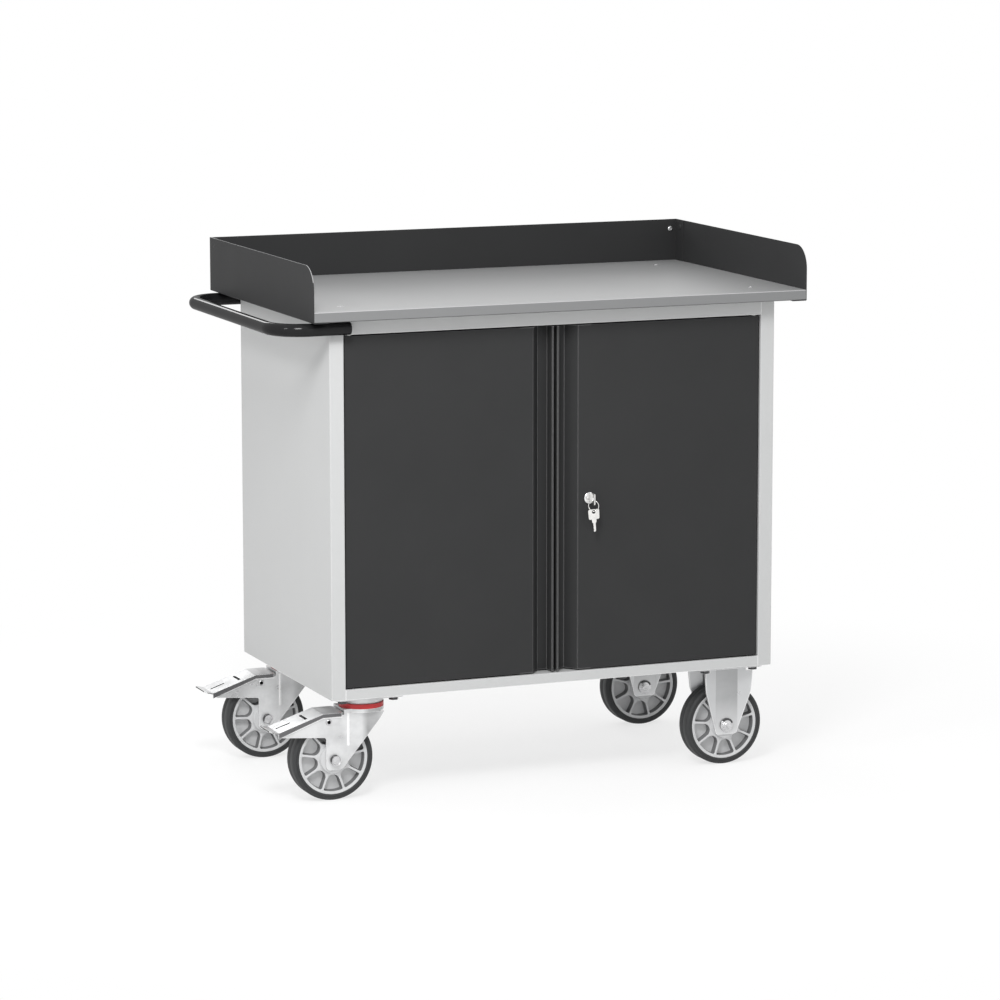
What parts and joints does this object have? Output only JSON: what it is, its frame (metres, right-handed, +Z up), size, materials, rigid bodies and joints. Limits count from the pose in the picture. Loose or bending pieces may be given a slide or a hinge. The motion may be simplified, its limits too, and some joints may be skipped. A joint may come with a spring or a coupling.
{
  "type": "workshop trolley",
  "caption": "Workshop trolley: steel cabinet with two lockable doors, worktop with a raised edge on three sides, push handle, braked swivel casters and fixed casters.",
  "frame": {"origin": "on the floor, under the middle of the overall box", "axes": "+Z up, doors face -Y, push handle at the -X end"},
  "size_m": [1.1015, 0.62, 1.0495],
  "materials": {
    "cabinet_grey": "light grey powder coat with a fine texture",
    "door_anthracite": "dark grey powder coat, satin",
    "board_grey": "grey melamine face on a board",
    "handle_black": "black gloss coat on steel tube",
    "cap_black": "black moulded plastic",
    "zinc": "bright zinc plating on pressed steel",
    "screw_steel": "zinc plated fasteners",
    "bush_white": "white moulded plastic",
    "seal_red": "red moulded plastic",
    "rim_grey": "mid grey moulded plastic",
    "tyre_grey": "grey elastic rubber",
    "lock_chrome": "polished nickel",
    "key_nickel": "nickel plated brass"
  },
  "bodies": {
    "cabinet": {"base_panel": "cabinet_grey", "caster_bolts": "screw_steel", "caster_nuts": "screw_steel", "door_bushes": "bush_white", "fixed_axles": "screw_steel", "front_left_plate": "zinc", "front_right_bracket": "zinc", "front_top_rail": "cabinet_grey", "handle_bolts": "screw_steel", "handle_end_caps": "cap_black", "left_caster_rail": "cabinet_grey", "left_side_panel": "cabinet_grey", "left_upstand": "door_anthracite", "push_handle": "handle_black", "rear_left_plate": "zinc", "rear_panel": "cabinet_grey", "rear_right_bracket": "zinc", "rear_upstand": "door_anthracite", "right_caster_rail": "cabinet_grey", "right_side_panel": "cabinet_grey", "right_upstand": "door_anthracite", "shelf": "cabinet_grey", "shelf_supports": "screw_steel", "upstand_screws": "screw_steel", "worktop": "board_grey", "worktop_screws": "screw_steel"},
    "door_left": {"left_door": "door_anthracite"},
    "door_right": {"right_door": "door_anthracite", "lock_housing": "lock_chrome", "rod_guides": "bush_white"},
    "lock": {"lock_plug": "lock_chrome", "lock_cam": "screw_steel"},
    "upper_rod": {"upper_lock_rod": "screw_steel"},
    "lower_rod": {"lower_lock_rod": "screw_steel"},
    "key": {"door_key": "key_nickel"},
    "ring": {"key_ring": "key_nickel", "spare_key": "key_nickel"},
    "front_left_swivel": {"front_left_fork": "zinc", "front_left_seal": "seal_red", "front_left_kingpin": "screw_steel", "front_left_axle": "screw_steel", "front_left_pedal_rivets": "screw_steel"},
    "front_left_brake": {"front_left_pedal": "zinc"},
    "rear_left_swivel": {"rear_left_fork": "zinc", "rear_left_seal": "seal_red", "rear_left_kingpin": "screw_steel", "rear_left_axle": "screw_steel", "rear_left_pedal_rivets": "screw_steel"},
    "rear_left_brake": {"rear_left_pedal": "zinc"},
    "front_left_wheel": {"front_left_rim": "rim_grey", "front_left_tyre": "tyre_grey"},
    "rear_left_wheel": {"rear_left_rim": "rim_grey", "rear_left_tyre": "tyre_grey"},
    "front_right_wheel": {"front_right_rim": "rim_grey", "front_right_tyre": "tyre_grey"},
    "rear_right_wheel": {"rear_right_rim": "rim_grey", "rear_right_tyre": "tyre_grey"}
  },
  "joints": [
    {"name": "left_door_hinge", "type": "hinge", "parent": "cabinet", "child": "door_left", "pos_m": [-0.39025, -0.2535, 0.569], "axis": [0, 0, -1], "range_deg": [0, 110]},
    {"name": "right_door_hinge", "type": "hinge", "parent": "cabinet", "child": "door_right", "pos_m": [0.46175, -0.2535, 0.569], "axis": [0, 0, 1], "range_deg": [0, 110]},
    {"name": "lock_turn", "type": "hinge", "parent": "door_right", "child": "lock", "pos_m": [0.10695, -0.2595, 0.5685], "axis": [0, 1, 0], "range_deg": [0, 90]},
    {"name": "upper_rod_slide", "type": "slide", "parent": "door_right", "child": "upper_rod", "axis": [0, 0, 1], "range_m": [0, 0.01273]},
    {"name": "lower_rod_slide", "type": "slide", "parent": "door_right", "child": "lower_rod", "axis": [0, 0, -1], "range_m": [0, 0.01273]},
    {"name": "key_withdraw", "type": "slide", "parent": "lock", "child": "key", "axis": [0, -1, 0], "range_m": [0, 0.03]},
    {"name": "ring_swing", "type": "hinge", "parent": "key", "child": "ring", "pos_m": [0.10695, -0.2816, 0.5662], "axis": [1, 0, 0], "range_deg": [-45, 15]},
    {"name": "front_left_swivel_turn", "type": "hinge", "parent": "cabinet", "child": "front_left_swivel", "pos_m": [-0.34925, -0.201, 0.1835], "axis": [0, 0, 1], "continuous": true},
    {"name": "front_left_wheel_spin", "type": "hinge", "parent": "front_left_swivel", "child": "front_left_wheel", "pos_m": [-0.41425, -0.201, 0.0825], "axis": [0, 1, 0], "continuous": true},
    {"name": "front_left_brake_tip", "type": "hinge", "parent": "front_left_swivel", "child": "front_left_brake", "pos_m": [-0.42725, -0.201, 0.1581], "axis": [0, -1, 0], "range_deg": [0, 5]},
    {"name": "rear_left_swivel_turn", "type": "hinge", "parent": "cabinet", "child": "rear_left_swivel", "pos_m": [-0.34925, 0.201, 0.1835], "axis": [0, 0, 1], "continuous": true},
    {"name": "rear_left_wheel_spin", "type": "hinge", "parent": "rear_left_swivel", "child": "rear_left_wheel", "pos_m": [-0.41425, 0.201, 0.0825], "axis": [0, 1, 0], "continuous": true},
    {"name": "rear_left_brake_tip", "type": "hinge", "parent": "rear_left_swivel", "child": "rear_left_brake", "pos_m": [-0.42725, 0.201, 0.1581], "axis": [0, -1, 0], "range_deg": [0, 5]},
    {"name": "front_right_wheel_spin", "type": "hinge", "parent": "cabinet", "child": "front_right_wheel", "pos_m": [0.42075, -0.201, 0.0825], "axis": [0, 1, 0], "continuous": true},
    {"name": "rear_right_wheel_spin", "type": "hinge", "parent": "cabinet", "child": "rear_right_wheel", "pos_m": [0.42075, 0.201, 0.0825], "axis": [0, 1, 0], "continuous": true}
  ],
  "couplings": [
    {"joint": "upper_rod_slide", "follows": "lock_turn", "m_per_rad": 0.0081028},
    {"joint": "lower_rod_slide", "follows": "lock_turn", "m_per_rad": 0.0081028}
  ]
}
